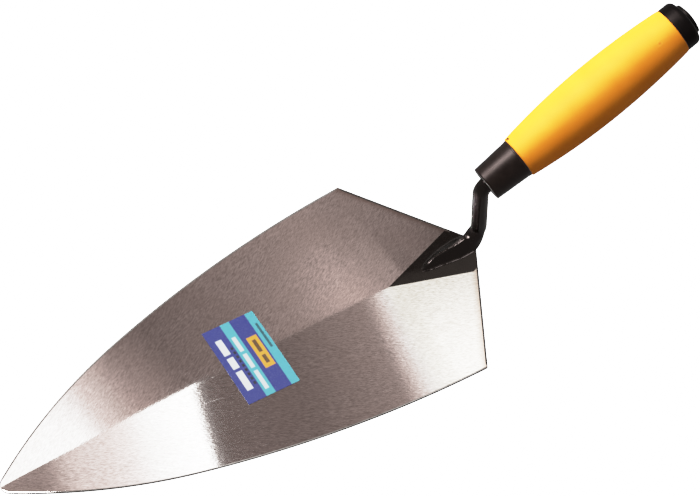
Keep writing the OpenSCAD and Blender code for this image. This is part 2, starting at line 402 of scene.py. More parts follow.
def rounded(corners, steps=6):
    """A closed outline from corners (s, r, radius), with an arc at each corner that has a radius."""
    out = []
    count = len(corners)
    for i, (s, r, radius) in enumerate(corners):
        if radius == 0:
            out.append((s, r))
            continue
        here = Vector((s, r))
        before = (Vector(corners[i - 1][:2]) - here).normalized()
        after = (Vector(corners[(i + 1) % count][:2]) - here).normalized()
        half = before.angle(after) / 2
        centre = here + (before + after).normalized() * (radius / math.sin(half))
        start = here + before * (radius / math.tan(half)) - centre
        end = here + after * (radius / math.tan(half)) - centre
        sweep = start.angle_signed(end)
        for k in range(steps + 1):
            arm = start.copy()
            arm.rotate(Matrix.Rotation(-sweep * k / steps, 2))
            out.append(tuple(centre + arm))
    return out


def lathe(name, loop, material, segments=144):
    """Turns a closed half section of (s, r) points about the handle's axis. Points with r = 0 lie on it."""
    verts, rows = [], []
    for s, r in loop:
        if r < 1e-6:
            rows.append([len(verts)] * segments)
            verts.append(on_handle(s, 0, 0))
        else:
            rows.append(list(range(len(verts), len(verts) + segments)))
            verts.extend(on_handle(s, r, math.tau * k / segments) for k in range(segments))
    faces = []
    for a, b in zip(rows, rows[1:] + rows[:1]):
        if a[0] == a[1] and b[0] == b[1]:
            continue
        for k in range(segments):
            n = (k + 1) % segments
            quad = [a[k], a[n], b[n], b[k]]
            face = [v for i, v in enumerate(quad) if v != quad[i - 1]]
            faces.append(face)
    return make_mesh(name, verts, faces, [material])


# ---------------------------------------------------------------- blade
SIDE_C = (-HEEL_DEPTH + SIDE_R * math.sin(SIDE_SLANT), HALF_W - SIDE_R * math.cos(SIDE_SLANT))
TURN_X = -SIDE_TURN * BLADE_LEN
TURN_Y = SIDE_C[1] + math.sqrt(SIDE_R ** 2 - (TURN_X - SIDE_C[0]) ** 2)
TIP_C = (-BLADE_LEN + TIP_R, 0.0)
INWARD = ((SIDE_C[0] - TURN_X) / SIDE_R, (SIDE_C[1] - TURN_Y) / SIDE_R)
REACH = (TURN_X - TIP_C[0], TURN_Y)
REACH_INWARD = REACH[0] * INWARD[0] + REACH[1] * INWARD[1]
NOSE_R = (TIP_R ** 2 - REACH[0] ** 2 - REACH[1] ** 2) / (2 * (REACH_INWARD + TIP_R))
NOSE_C = (TURN_X + NOSE_R * INWARD[0], TURN_Y + NOSE_R * INWARD[1])
TIP_TOUCH_X = NOSE_C[0] + (TIP_C[0] - NOSE_C[0]) * NOSE_R / (NOSE_R - TIP_R)
SHOULDER_ROUND = 0.16


def half_width(x):
    """Half the blade's width at x."""
    if x < TIP_TOUCH_X:
        side = math.sqrt(max(TIP_R ** 2 - (x - TIP_C[0]) ** 2, 0.0))
    elif x < TURN_X:
        side = NOSE_C[1] + math.sqrt(NOSE_R ** 2 - (x - NOSE_C[0]) ** 2)
    else:
        side = SIDE_C[1] + math.sqrt(SIDE_R ** 2 - (x - SIDE_C[0]) ** 2)
    heel = -x * HALF_W / HEEL_DEPTH
    if heel - side > 10 * SHOULDER_ROUND:
        return side
    low = min(side, heel)
    return low - SHOULDER_ROUND * math.log(
        math.exp((low - side) / SHOULDER_ROUND) + math.exp((low - heel) / SHOULDER_ROUND)
    )


# The lacquered triangle: its apex, how fast each side opens, where each side's coat reaches the heel edge
# and the coat's thickness
APEX_X, APEX_Y = -55.1, -1.2
FAR_OPENS, NEAR_OPENS = 0.337, 0.363
FAR_FULL_X, NEAR_FULL_X = -8.45, -10.2
LACQUER_T = 0.07
# The bends of the ground ridge, as (x, y): it strays to one side in the front half and jogs at the foot
RIDGE_PATH = [(-280, 0.6), (-270, 1.0), (-240, 1.1), (-210, 2.7), (-165, 2.0), (-100, 0.0),
              (APEX_X, APEX_Y), (-43.5, 2.2), (-34.5, -2.0), (-18, 0.0)]
# The softened edge: its size, and the width of the dark line along the heel on each side
SOFTEN = 0.28
FAR_LINE, NEAR_LINE = 1.1, 0.7
# The flat of the edge starts this far above the underside, which it meets in a bevel
BEVEL = 0.16
# How far the four marks next to the ridge lie from it, as a share of the flat and in mm
RIDGE_MARKS = [(0, 0), (0.06, 0.015), (0.12, 0.03), (0.2, 0.05)]
STEEL_SLOT, EDGE_SLOT, COAT_SLOT = 0, 1, 2


def ridge_y(x):
    """Where the ridge is at x."""
    jag = 0.0
    if x < APEX_X:
        jag = 0.22 * noise.noise(Vector((x * 0.31, 3.1, 0))) + 0.12 * noise.noise(Vector((x * 0.9, 9.7, 0)))
    limit = 0.35 * half_width(x)
    return max(-limit, min(limit, blend_curve(RIDGE_PATH, x) + jag))


def blade_top(x, y):
    """Height of the blade's upper face: flat from the ridge to each edge."""
    side = 1 if y > ridge_y(x) else -1
    ridge_z = RIDGE_T + RIDGE_SLOPE * x
    edge_z = ridge_z - FACET_SLOPE * half_width(x)
    share = abs(y - ridge_y(x)) / abs(side * half_width(x) - ridge_y(x))
    return ridge_z + (edge_z - ridge_z) * share


def blade_stations():
    xs = [-BLADE_LEN + TIP_R * (1 - math.cos(math.radians(a))) for a in (2.5, 6, 12, 19, 27, 36, 46, 57, 68)]
    xs += [-BLADE_LEN + TIP_R + 3 + 2.4 * k for k in range(97)]
    xs = [x for x in xs if x < -HEEL_DEPTH - 2.2]
    xs += [-HEEL_DEPTH + d for d in (-2, -1.4, -1, -0.7, -0.45, -0.25, -0.1, 0, 0.1, 0.22, 0.4, 0.7, 1.2, 2)]
    xs += [-HEEL_DEPTH + 2 + 2.0 * k for k in range(1, 19)] + [-1.7, -1.0, -0.55, -0.3]
    xs += [x + d for x in (APEX_X, FAR_FULL_X, NEAR_FULL_X) for d in (-0.03, 0.05)]
    return sorted(set(xs))


def blade_side(x, side):
    """One side's outline at x, from the ridge to the underside, and whether lacquer covers all of it."""
    w = half_width(x)
    step = 0.01
    slope = (half_width(x + step) - w) / step if x < -0.5 else -HALF_W / HEEL_DEPTH
    stretch = math.sqrt(1 + slope * slope)
    cut = min(SOFTEN * stretch, 0.6 * w)
    flat = abs(side * (w - cut) - ridge_y(x))
    line = min((FAR_LINE if side > 0 else NEAR_LINE) * stretch, 0.3 * flat)
    full = False
    gather = min(1.0, max(0.0, (APEX_X - x) / 8.0))
    marks = [gather * share * flat + (1 - gather) * near for share, near in RIDGE_MARKS]
    if x > APEX_X:
        opens = FAR_OPENS if side > 0 else NEAR_OPENS
        coat_y = APEX_Y + side * (x - APEX_X) * opens
        reach = max(0.03, side * (coat_y - ridge_y(x)))
        full = x > (FAR_FULL_X if side > 0 else NEAR_FULL_X)
        reach = min(reach, 0.98 * (flat - line))
        rim = min(0.05, 0.2 * (flat - line - reach))
        marks = [0.0, 0.5 * reach, reach - 0.02 * min(1, reach), reach + rim]
    marks += [marks[3] + (flat - line - marks[3]) * t for t in (0.25, 0.5, 0.75, 1.0)] + [flat]
    pts = []
    for i, along in enumerate(marks):
        y = ridge_y(x) + side * along
        coated = x > APEX_X and (i < 3 or full)
        pts.append((x, y, blade_top(x, y) + (LACQUER_T if coated else 0.0)))
    top = pts[-1][2]
    pts.append((x, side * (w - 0.3 * cut), top - 0.3 * SOFTEN))
    pts.append((x, side * w, top - 0.95 * SOFTEN))
    pts.append((x, side * w, BEVEL))
    pts.append((x, side * (w - min(BEVEL, 0.4 * w)), 0.0))
    return pts, full


def build_blade(steel, edge, lacquer):
    """The blade: two ground facets that meet in a ridge, softened edges, and a lacquered coat at the heel."""
    verts, faces, slots, smooth, rows = [], [], [], [], []
    for x in blade_stations():
        far, far_full = blade_side(x, 1)
        near, near_full = blade_side(x, -1)
        ring = far + near[:0:-1]
        rows.append((range(len(verts), len(verts) + len(ring)), x, (far_full, near_full)))
        verts.extend(ring)
    underside = len(far) - 1
    rounding, heel_line = underside - 4, underside - 5
    for (a, xa, full_a), (b, xb, full_b) in zip(rows, rows[1:]):
        middle = (xa + xb) / 2
        for k in range(len(a)):
            n = (k + 1) % len(a)
            faces.append((a[k], b[k], b[n], a[n]))
            side = 0 if k < underside else 1
            column = min(k, len(a) - 1 - k)
            covered = full_a[side] and full_b[side]
            if k == underside:
                slot = STEEL_SLOT
            elif covered or (middle > APEX_X and column < 2):
                slot = COAT_SLOT
            elif column >= rounding or (column == heel_line and middle > -HEEL_DEPTH):
                slot = EDGE_SLOT
            else:
                slot = STEEL_SLOT
            slots.append(slot)
            smooth.append(rounding <= column < underside)
    faces += [tuple(rows[0][0]), tuple(reversed(rows[-1][0]))]
    slots += [EDGE_SLOT, COAT_SLOT]
    smooth += [False, False]
    return make_mesh("blade_ground", verts, faces, [steel, edge, lacquer], slots, 25.0, smooth)


# ---------------------------------------------------------------- shank
# The foot, as (x, size): the height of its crest and the half widths of its base and of its crest
CREST = [(-35.0, 1.9), (-34.3, 2.4), (-33.2, 3.2), (-31.8, 4.1), (-30.2, 5.0), (-28.4, 5.6), (-26.4, 6.05),
         (-22.0, 6.3), (-18.0, 6.45), (-14.0, 7.1), (-10.0, 8.3), (-7.3, 9.1)]
BASE_HALF = [(-35.0, 0.8), (-34.0, 1.5), (-32.0, 2.4), (-27.9, 3.6), (-19.7, 5.4), (-12.4, 6.4), (-6.0, 6.2)]
CREST_HALF = [(-35.0, 0.35), (-33.0, 0.55), (-28.0, 0.8), (-18.0, 1.0), (-7.3, 1.9)]
# The foot's nose leans a little to one side
FOOT_LEAN = [(-35.0, -1.7), (-30.0, -0.9), (-24.0, -0.2), (-18.0, 0.0)]
FOOT_SUNK = 0.35
CREST_END = -7.3


def shank_stations():
    """Each station of the bar: the top and bottom points of its section in the XZ plane, the half widths of
    its base and of its crest, and how round it is, from 0 for the foot's ridge to 1 for round bar."""
    out = []
    for k in range(38):
        x = -FOOT_LEN + (FOOT_LEN + CREST_END) * (k / 37) ** 1.15
        bottom = RIDGE_T + RIDGE_SLOPE * x - FOOT_SUNK
        crest = max(blend_curve(CREST, x), bottom + 0.2)
        out.append(((x, crest), (x, bottom), blend_curve(BASE_HALF, x), blend_curve(CREST_HALF, x), 0.0))
    pivot = (NECK_X - FOOT_BEND_R, FOOT_BEND_R + BAR_R + 0.3)
    low = RIDGE_T - FOOT_SUNK
    for k in range(1, 19):
        t = k / 18
        a = math.radians(90 * t)
        inner = FOOT_BEND_R - BAR_R
        outer = FOOT_BEND_R + BAR_R - 0.35 * math.sin(2 * a)
        top = (pivot[0] + inner * math.sin(a), pivot[1] - inner * math.cos(a))
        bottom = (pivot[0] + outer * math.sin(a), max(pivot[1] - outer * math.cos(a), low + 0.2 * t))
        ease = min(1.0, t * 1.35) ** 1.4
        base, crest = BASE_HALF[-1][1], CREST_HALF[-1][1]
        out.append((top, bottom, base + (BAR_R - base) * ease, crest + (BAR_R - crest) * ease, ease))
    handle = Vector((math.cos(TILT), math.sin(TILT)))
    corner_to_ferrule = (FERRULE_X - NECK_X) / math.cos(TILT)
    corner_z = FERRULE_Z - corner_to_ferrule * math.sin(TILT)
    bend = math.pi / 2 - TILT
    reach = TOP_BEND_R * math.tan(bend / 2)
    top_z = corner_z - reach
    for k in range(1, 15):
        z = pivot[1] + (top_z - pivot[1]) * k / 15
        out.append(((NECK_X - BAR_R, z), (NECK_X + BAR_R, z), BAR_R, BAR_R, 1.0))
    centre = (NECK_X + TOP_BEND_R, top_z)
    for k in range(15):
        t = k / 14
        a = bend * t
        swell = 0.35 * math.sin(math.pi * min(1.0, t * 0.8))
        far_r = TOP_BEND_R + BAR_R
        near_r = TOP_BEND_R - BAR_R - swell
        top = (centre[0] - far_r * math.cos(a), centre[1] + far_r * math.sin(a))
        bottom = (centre[0] - near_r * math.cos(a), centre[1] + near_r * math.sin(a))
        out.append((top, bottom, BAR_R, BAR_R, 1.0))
    start = Vector((NECK_X, corner_z)) + handle * reach
    normal = Vector((-handle.y, handle.x))
    tang_r = BAR_R - 0.15
    length = TANG_LEN - (reach - corner_to_ferrule)
    tang = [(0.6, BAR_R), (1.2, tang_r), (length * 0.35, tang_r), (length * 0.7, tang_r), (length - 3, tang_r),
            (length - 0.4, 2.8), (length, 2.2)]
    for s, r in tang:
        middle = start + handle * s
        out.append((tuple(middle + normal * r), tuple(middle - normal * r), r, r, 1.0))
    return out


def foot_corner(a, base, crest):
    """A point of the foot's ridge-shaped section as (across, rise from -1 to 1) for an angle in degrees."""
    rounding = 0.6 * crest
    if a < -51:
        return base * (a + 90) / 39, -1.0
    if a < 51:
        t = (a + 51) / 102
        return base + (crest - base) * t, -1.0 + 1.78 * t
    if a < 75:
        t = math.radians((a - 51) / 24 * 90)
        return crest - rounding * (1 - math.cos(t)), 0.78 + 0.22 * math.sin(t)
    return (crest - rounding) * (90 - a) / 15, 1.0


def shank_section(base, crest, height, roundness, points=60):
    """Points round a section as (across, up): the foot's ridge blended into a circle."""
    out = []
    for k in range(points):
        degrees = 360 * (k + 0.5) / points - 90
        a = math.radians(degrees)
        mirrored = degrees > 90
        across, rise = foot_corner(180 - degrees if mirrored else degrees, base, crest)
        ridge = (-across if mirrored else across, rise * height)
        ring = (math.cos(a) * base, math.sin(a) * height)
        out.append(tuple(ridge[i] + (ring[i] - ridge[i]) * roundness for i in (0, 1)))
    return out


def build_shank(lacquer):
    """One bar: a ridge-shaped foot on the blade, an upright neck, a bend and the tang in the handle."""
    verts, faces, rows = [], [], []
    for (tx, tz), (bx, bz), base, crest, roundness in shank_stations():
        top, bottom = Vector((tx, tz)), Vector((bx, bz))
        middle = (top + bottom) / 2
        height = (top - bottom).length / 2
        up = (top - bottom).normalized()
        lean = blend_curve(FOOT_LEAN, bx)
        ring = []
        for across, rise in shank_section(base, crest, height, roundness):
            p = middle + up * rise
            z = p.y
            if p.x < 3:
                z = max(z, blade_top(min(p.x, -0.5), across + lean) - 0.3)
            dent = noise.noise(Vector((p.x * 0.35, across * 0.35, z * 0.35)))
            push = 0.10 * dent if p.x < FERRULE_X else 0.0
            ring.append((p.x, lean + across * (1 + push / max(base, 1)), z + (push if z > 3 else 0)))
        rows.append(list(range(len(verts), len(verts) + len(ring))))
        verts.extend(ring)
    count = len(rows[0])
    for a, b in zip(rows, rows[1:]):
        for k in range(count):
            n = (k + 1) % count
            faces.append((a[k], a[n], b[n], b[k]))
    for row in (rows[0][::-1], rows[-1]):
        centre = sum((Vector(verts[k]) for k in row), Vector()) / count
        faces.extend((row[k], row[(k + 1) % count], len(verts)) for k in range(count))
        verts.append(tuple(centre))
    return make_mesh("shank_forged", verts, faces, [lacquer], sharp_angle=60.0)


# Section of the fillet as (outwards, upwards) from the edge of the foot's base
FILLET = [(1.0, -0.25), (0.95, 0.03), (0.55, 0.15), (0.2, 0.34), (-0.1, 0.62), (-0.45, 0.98), (-1.0, 1.15),
          (-1.7, 0.9), (-1.7, -0.25)]
FILLET_END = -4.0


def build_weld(lacquer):
    """An uneven fillet that runs round the base of the foot."""
    side = [-FOOT_LEN + (FOOT_LEN + FILLET_END) * k / 64 for k in range(65)]
    path = [(x, blend_curve(FOOT_LEAN, x) - blend_curve(BASE_HALF, x)) for x in reversed(side)]
    path += [(-FOOT_LEN - 0.3, FOOT_LEAN[0][1] + y) for y in (-0.45, 0.0, 0.45)]
    path += [(x, blend_curve(FOOT_LEAN, x) + blend_curve(BASE_HALF, x)) for x in side]
    verts, faces, rows = [], [], []
    for i, (x, y) in enumerate(path):
        ahead = (Vector(path[min(i + 1, len(path) - 1)]) - Vector(path[max(i - 1, 0)])).normalized()
        out = Vector((-ahead.y, ahead.x))
        size = 0.55 + 0.12 * noise.noise(Vector((x * 0.45, y * 0.45, 5.0)))
        size *= min(1.0, (min(i, len(path) - 1 - i) + 1.0) / 4)
        height = size * min(1.0, 0.25 + (blend_curve(CREST, x) - RIDGE_T) / 3.0)
        row = range(len(verts), len(verts) + len(FILLET))
        for across, rise in FILLET:
            px, py = x + out.x * across * size, y + out.y * across * size
            lift = max(rise, 0) * height + min(rise, 0)
            verts.append((px, py, blade_top(px, py) + lift))
        rows.append(row)
    for a, b in zip(rows, rows[1:]):
        for k in range(len(FILLET)):
            n = (k + 1) % len(FILLET)
            faces.append((a[k], b[k], b[n], a[n]))
    faces += [tuple(rows[0]), tuple(reversed(rows[-1]))]
    return make_mesh("weld_bead", verts, faces, [lacquer], sharp_angle=60.0)


# ---------------------------------------------------------------- handle
def build_ferrule(material):
    rim = FERRULE_LEN - 1.0
    loop = rounded([
        (0, BAR_R + 0.35, 0.25), (0, FERRULE_FRONT_R, 0.75), (rim, FERRULE_BACK_R - 0.22, 0.12),
        (rim + 0.22, FERRULE_BACK_R, 0.12), (FERRULE_LEN, FERRULE_BACK_R, 0.48),
        (FERRULE_LEN, SPIGOT_R, 0), (3, SPIGOT_R, 0), (3, BAR_R + 0.35, 0),
    ])
    return lathe("ferrule_tapered", loop, material)


def grip_radius(s):
    end, edge = (GRIP_START, GRIP_FRONT_R) if s < GRIP_BELLY else (GRIP_END, GRIP_BACK_R)
    drop = GRIP_MAX_R - edge
    arc = ((end - GRIP_BELLY) ** 2 + drop ** 2) / (2 * drop)
    return GRIP_MAX_R - arc + math.sqrt(arc ** 2 - (s - GRIP_BELLY) ** 2)


def build_grip(material):
    lip = 0.6
    steps = 72
    body = [GRIP_START + lip + (GRIP_END - GRIP_START - 2 * lip) * k / steps for k in range(steps + 1)]
    outside = [(s, grip_radius(s)) for s in body]
    curve = [(0, lip), (0.05, 0.36), (0.18, 0.14), (0.36, 0.01)]
    front = [(GRIP_START + inset, GRIP_FRONT_R - drop) for inset, drop in curve]
    back = [(GRIP_END - inset, GRIP_BACK_R - drop) for inset, drop in reversed(curve)]
    loop = front + outside + back + [(GRIP_END, CORE_R), (GRIP_START, CORE_R)]
    return lathe("grip_moulded", loop, material, 160)


def build_cap(material):
    loop = rounded([
        (CAP_START, CORE_R, 0), (CAP_START, CAP_R, 0.18), (CAP_END, CAP_R, 3.1),
        (CAP_END, PLUG_STEM_R + 0.1, 0.1), (CAP_START + 3.7, PLUG_STEM_R + 0.1, 0),
        (CAP_START + 3.7, CORE_R, 0),
    ], steps=10)
    return lathe("end_cap_domed", loop, material)


def build_plug(material):
    dome_h = 1.3
    edge_round = 0.7
    stem_start = CAP_START - 10.3
    edge_r = PLUG_R - edge_round
    dome_r = (edge_r ** 2 + dome_h ** 2) / (2 * dome_h)
    head_top = PLUG_START + PLUG_H
    steps = 14
    loop = [(stem_start, 0.0), (stem_start, PLUG_STEM_R), (PLUG_START, PLUG_STEM_R),
            (PLUG_START, PLUG_R - 0.3), (PLUG_START + 0.09, PLUG_R - 0.09), (PLUG_START + 0.3, PLUG_R)]
    low = head_top - dome_h
    for k in range(6):
        a = math.radians(15 * k)
        loop.append((low - edge_round + edge_round * math.sin(a), edge_r + edge_round * math.cos(a)))
    start = math.asin(edge_r / dome_r)
    for k in range(steps + 1):
        a = start * (1 - k / steps)
        loop.append((head_top - dome_r + dome_r * math.cos(a), dome_r * math.sin(a)))
    return lathe("end_plug_disc", loop, material)


def build_label(material):
    """A thin film that follows the ridge."""
    across, along = 44, 72
    c, s = math.cos(LABEL_TURN), math.sin(LABEL_TURN)
    verts = []
    for lift in (0.015, LABEL_T):
        for i in range(across + 1):
            for j in range(along + 1):
                u = (i / across - 0.5) * LABEL_W
                v = (j / along - 0.5) * LABEL_L
                x = LABEL_X + u * c - v * s
                y = LABEL_Y + u * s + v * c
                verts.append((x, y, blade_top(x, y) + lift))
    row = along + 1
    layer = (across + 1) * row
    faces = []
    for i in range(across):
        for j in range(along):
            a, b = i * row + j, (i + 1) * row + j
            faces.append((a, a + 1, b + 1, b))
            faces.append((layer + a, layer + b, layer + b + 1, layer + a + 1))
    rim = list(range(along)) + [i * row + along for i in range(across)]
    rim += [across * row + j for j in range(along, 0, -1)] + [i * row for i in range(across, 0, -1)]
    for a, b in zip(rim, rim[1:] + rim[:1]):
        faces.append((a, layer + a, layer + b, b))
    return make_mesh("label_film", verts, faces, [material])


# ---------------------------------------------------------------- build
GATE = Vector(on_handle(112.0, grip_radius(112.0), math.radians(214))) * MM

steel = steel_material()
edge = edge_material()
coat = lacquer_material("heel_lacquer", 0.09, 0.15, 0.00001, 0.000004, 0.19)
shank_coat = lacquer_material("shank_lacquer", 0.09, 0.19, 0.00014, 0.000016, 0.38)
ferrule_black = plastic_material(
    "ferrule_plastic", (0.0060, 0.0040, 0.0032), (0.010, 0.0068, 0.0055), 0.33, 0.42, 0.00001, 0.33
)
cap_black = plastic_material(
    "cap_plastic", (0.003, 0.0025, 0.0026), (0.005, 0.0042, 0.0042), 0.40, 0.5, 0.00002, 0.085
)
core_black = plastic_material(
    "core_plastic", (0.010, 0.010, 0.010), (0.016, 0.015, 0.014), 0.40, 0.50, 0.00001
)

add_piece(build_blade(steel, edge, coat), "blade_steel", "blade")
add_piece(build_shank(shank_coat), "black_lacquer", "shank")
add_piece(build_weld(shank_coat), "black_lacquer", "foot_weld")
add_piece(build_ferrule(ferrule_black), "ferrule_black", "ferrule")
add_piece(build_grip(grip_material(GATE)), "grip_yellow", "grip_sleeve")
add_piece(build_cap(cap_black), "cap_black", "end_cap")
add_piece(build_plug(cap_black), "cap_black", "end_plug")
add_piece(build_label(label_material()), "label_blue", "label")

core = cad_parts["handle_core"]
core.data.materials.clear()
core.data.materials.append(core_black)


# ---------------------------------------------------------------- studio
# How bright light is shown, as (light, shown): straight up to TONE_STRAIGHT, then a soft shoulder
TONE_STRAIGHT = 0.6
TONE = [(0.0, 0.0), (0.15, 0.15), (0.3, 0.3), (TONE_STRAIGHT, TONE_STRAIGHT), (0.8, 0.735), (1.0, 0.81),
        (1.3, 0.88), (2.0, 0.955), (3.2, 1.0)]
TONE_WHITE = TONE[-1][0]
UNTONED = [(shown, light) for light, shown in TONE] + [(1.25, 4.0)]


def apply_tone():
    settings = bpy.context.scene.view_settings
    settings.view_transform = "Standard"
    settings.use_curve_mapping = True
    mapping = settings.curve_mapping
    mapping.extend = "HORIZONTAL"
    mapping.white_level = (TONE_WHITE, TONE_WHITE, TONE_WHITE)
    curve = mapping.curves[3]
    for light, shown in TONE[1:-1]:
        curve.points.new(light / TONE_WHITE, shown)
    for point in curve.points:
        straight = point.location[0] < TONE_STRAIGHT / TONE_WHITE
        point.handle_type = "VECTOR" if straight else "AUTO_CLAMPED"
    mapping.update()


FLOOR_SIZE = 4.0
FLOOR_DROP = 0.0003
SHORT_RAY = 0.004


def build_floor():
    """A plain pale floor. The camera sees it lit from within, so shadows on it are faint. To every other ray
    it is a dark grey, and it is clear to those that are shorter than SHORT_RAY and to rays from below."""
    mesh = bpy.data.meshes.new("floor")
    corners = [(-1, -1), (1, -1), (1, 1), (-1, 1)]
    mesh.from_pydata([(x * FLOOR_SIZE, y * FLOOR_SIZE, -FLOOR_DROP) for x, y in corners], [], [(0, 1, 2, 3)])
    m, g = new_material("pale_floor")
    path = g.node("LightPath")
    shown = g.node("Emission", Color=(1.0, 1.0, 1.0), Strength=TONE_WHITE)
    lit = g.node("BsdfDiffuse", Color=(0.06, 0.06, 0.06))
    seen = g.node("AddShader")
    g.put(seen.inputs[0], shown.outputs[0])
    g.put(seen.inputs[1], lit.outputs[0])
    bounce = g.node("MixShader")
    g.put(bounce.inputs[0], path.outputs["Is Glossy Ray"])
    g.put(bounce.inputs[1], g.node("BsdfDiffuse", Color=(0.16, 0.15, 0.145)).outputs[0])
    g.put(bounce.inputs[2], g.node("Emission", Color=(1.0, 0.97, 0.94), Strength=0.31).outputs[0])
    front = g.node("MixShader")
    g.put(front.inputs[0], path.outputs["Is Camera Ray"])
    g.put(front.inputs[1], bounce.outputs[0])
    g.put(front.inputs[2], seen.outputs[0])
    clear = g.node("BsdfTransparent")
    near = g.math("LESS_THAN", path.outputs["Ray Length"], SHORT_RAY)
    near = g.math("MULTIPLY", near, g.math("SUBTRACT", 1.0, path.outputs["Is Camera Ray"]))
    hidden = g.math("MAXIMUM", g.node("NewGeometry").outputs["Backfacing"], near)
    both = g.node("MixShader")
    g.put(both.inputs[0], hidden)
    g.put(both.inputs[1], front.outputs[0])
    g.put(both.inputs[2], clear.outputs[0])
    g.node("OutputMaterial", Surface=both.outputs[0])
    mesh.materials.append(m)
    floor = bpy.data.objects.new("floor", mesh)
    bpy.context.scene.collection.objects.link(floor)


def build_world():
    world = bpy.data.worlds.new("studio")
    world.use_nodes = True
    g = Graph(world.node_tree)
    up = g.node("SeparateXYZ", Vector=g.node("TexCoord").outputs["Generated"]).outputs[2]
    room = g.mix(g.span(up, -0.2, 1.0), (0.30, 0.28, 0.27), (0.23, 0.205, 0.195))
    path = g.node("LightPath")
    colour = g.mix(path.outputs["Is Camera Ray"], room, (TONE_WHITE, TONE_WHITE, TONE_WHITE))
    back = g.node("Background", Color=colour, Strength=1.0)
    g.node("OutputWorld", Surface=back.outputs[0])
    bpy.context.scene.world = world


def add_area(name, aim, toward, distance, size, power, colour=(1.0, 1.0, 1.0)):
    """A soft rectangular light at a distance from aim, in the direction toward."""
    data = bpy.data.lights.new(name, "AREA")
    data.shape = "RECTANGLE"
    data.size, data.size_y = size
    data.energy = power
    data.color = colour
    light = bpy.data.objects.new(name, data)
    direction = Vector(toward).normalized()
    light.location = Vector(aim) + direction * distance
    light.rotation_euler = direction.to_track_quat("Z", "Y").to_euler()
    light.visible_camera = False
    bpy.context.scene.collection.objects.link(light)
    return light


def dim_warmth(level):
    """How brownish a panel is at a level: not at all when bright, and more the dimmer it is."""
    share = (CLEAN_LEVEL - level) / (CLEAN_LEVEL - DIM_LEVEL)
    return DIM_WARMTH * min(1.0, max(0.0, share))


def panel_colour(level, warmth):
    """The light of a panel: neutral at no warmth, brownish above it and straw-coloured below it."""
    green_loss, blue_loss = (0.25, 0.30) if warmth > 0 else (-0.06, -0.22)
    tints = (level, level * (1 - green_loss * warmth), level * (1 - blue_loss * warmth))
    return tuple(blend_curve(UNTONED, c) for c in tints)


def fade(stops):
    """The stops with FADE_STEPS - 1 more between each two, as (place, level, warmth), so that the light fades
    evenly as it is shown. A stop is (place, level), or (place, level, warmth) where the warmth isn't the one
    that goes with the level."""
    full = [(at, level, *(own or [dim_warmth(level)])) for at, level, *own in stops]
    out = []
    for start, end in zip(full, full[1:]):
        for k in range(FADE_STEPS):
            out.append(tuple(v0 + (v1 - v0) * k / FADE_STEPS for v0, v1 in zip(start, end)))
    return out + [full[-1]]


def panel_ramp(g, place, stops):
    """A colour ramp in place, in mm, through the stops, at 1 / PANEL_MAX of its strength."""
    lo, hi = stops[0][0], stops[-1][0]
    share = g.span(place, lo * MM, hi * MM, kind="LINEAR")
    ramp = g.node("ValToRGB", Fac=share)
    elements = ramp.color_ramp.elements
    points = fade(stops)
    while len(elements) < len(points):
        elements.new(0.5)
    for element, (at, _, _) in zip(elements, points):
        element.position = (at - lo) / (hi - lo)
    for element, (_, level, warmth) in zip(elements, points):
        element.color = (*(c / PANEL_MAX for c in panel_colour(level, warmth)), 1.0)
    return ramp.outputs[0]


def add_panel(name, y_range, slants, stops, outer_stops, outer_range):
    """A graded reflector overhead, at PANEL_Z, that the blade mirrors. Its light changes along X. Its graded
    lines lean by the three slants: towards the tip, in the middle and towards the heel. Across outer_range
    its stops turn into outer_stops."""
    x_lo, x_hi = PANEL_X
    mesh = bpy.data.meshes.new(name)
    corners = [(x_lo, y_range[0]), (x_lo, y_range[1]), (x_hi, y_range[1]), (x_hi, y_range[0])]
    mesh.from_pydata([(x * MM, y * MM, PANEL_Z * MM) for x, y in corners], [], [(0, 1, 2, 3)])
    m, g = new_material(name + "_light")
    x, y, _ = g.position()
    tip_slant, slant, heel_slant = slants
    from_tip = g.span(x, -20 * MM, 80 * MM, tip_slant - slant, 0.0)
    to_heel = g.span(x, 150 * MM, 280 * MM, slant, heel_slant)
    away = g.math("SUBTRACT", y, SLANT_FROM * MM)
    place = g.math("SUBTRACT", x, g.math("MULTIPLY", away, g.math("ADD", from_tip, to_heel)))
    share = g.span(y, outer_range[0] * MM, outer_range[1] * MM, kind="LINEAR")
    colour = g.mix(share, panel_ramp(g, place, stops), panel_ramp(g, place, outer_stops))
    lamp = g.node("Emission", Color=colour, Strength=PANEL_MAX / STEEL_REFLECTS)
    g.node("OutputMaterial", Surface=lamp.outputs[0])
    mesh.materials.append(m)
    panel = bpy.data.objects.new(name, mesh)
    panel.visible_camera = False
    bpy.context.scene.collection.objects.link(panel)


def receivers(name, piece):
    """A collection of one piece, for a light or reflector that acts on it alone."""
    group = bpy.data.collections.new(name + "_receivers")
    group.objects.link(bpy.data.objects[piece])
    return group


def add_cloud(name, verts, faces, scale):
    """A reflector of soft clouds of light that only the blade mirrors. It is clear to everything else."""
    mesh = bpy.data.meshes.new(name)
    mesh.from_pydata(verts, [], faces)
    m, g = new_material(name + "_light")
    x, y, z = g.position()
    cloud = g.noise(g.vector(x, y, g.math("MULTIPLY", z, 1.4)), scale, 1.0, 0.4)
    lamp = g.node("Emission", Color=(1.0, 0.985, 0.97), Strength=g.span(cloud, 0.36, 0.66, 0.0, 1.0))
    both = g.node("AddShader")
    g.put(both.inputs[0], lamp.outputs[0])
    g.put(both.inputs[1], g.node("BsdfTransparent").outputs[0])
    g.node("OutputMaterial", Surface=both.outputs[0])
    mesh.materials.append(m)
    cloud_card = bpy.data.objects.new(name, mesh)
    cloud_card.visible_camera = False
    cloud_card.visible_diffuse = False
    bpy.context.scene.collection.objects.link(cloud_card)
    cloud_card.light_linking.receiver_collection = receivers(name, "blade_ground")


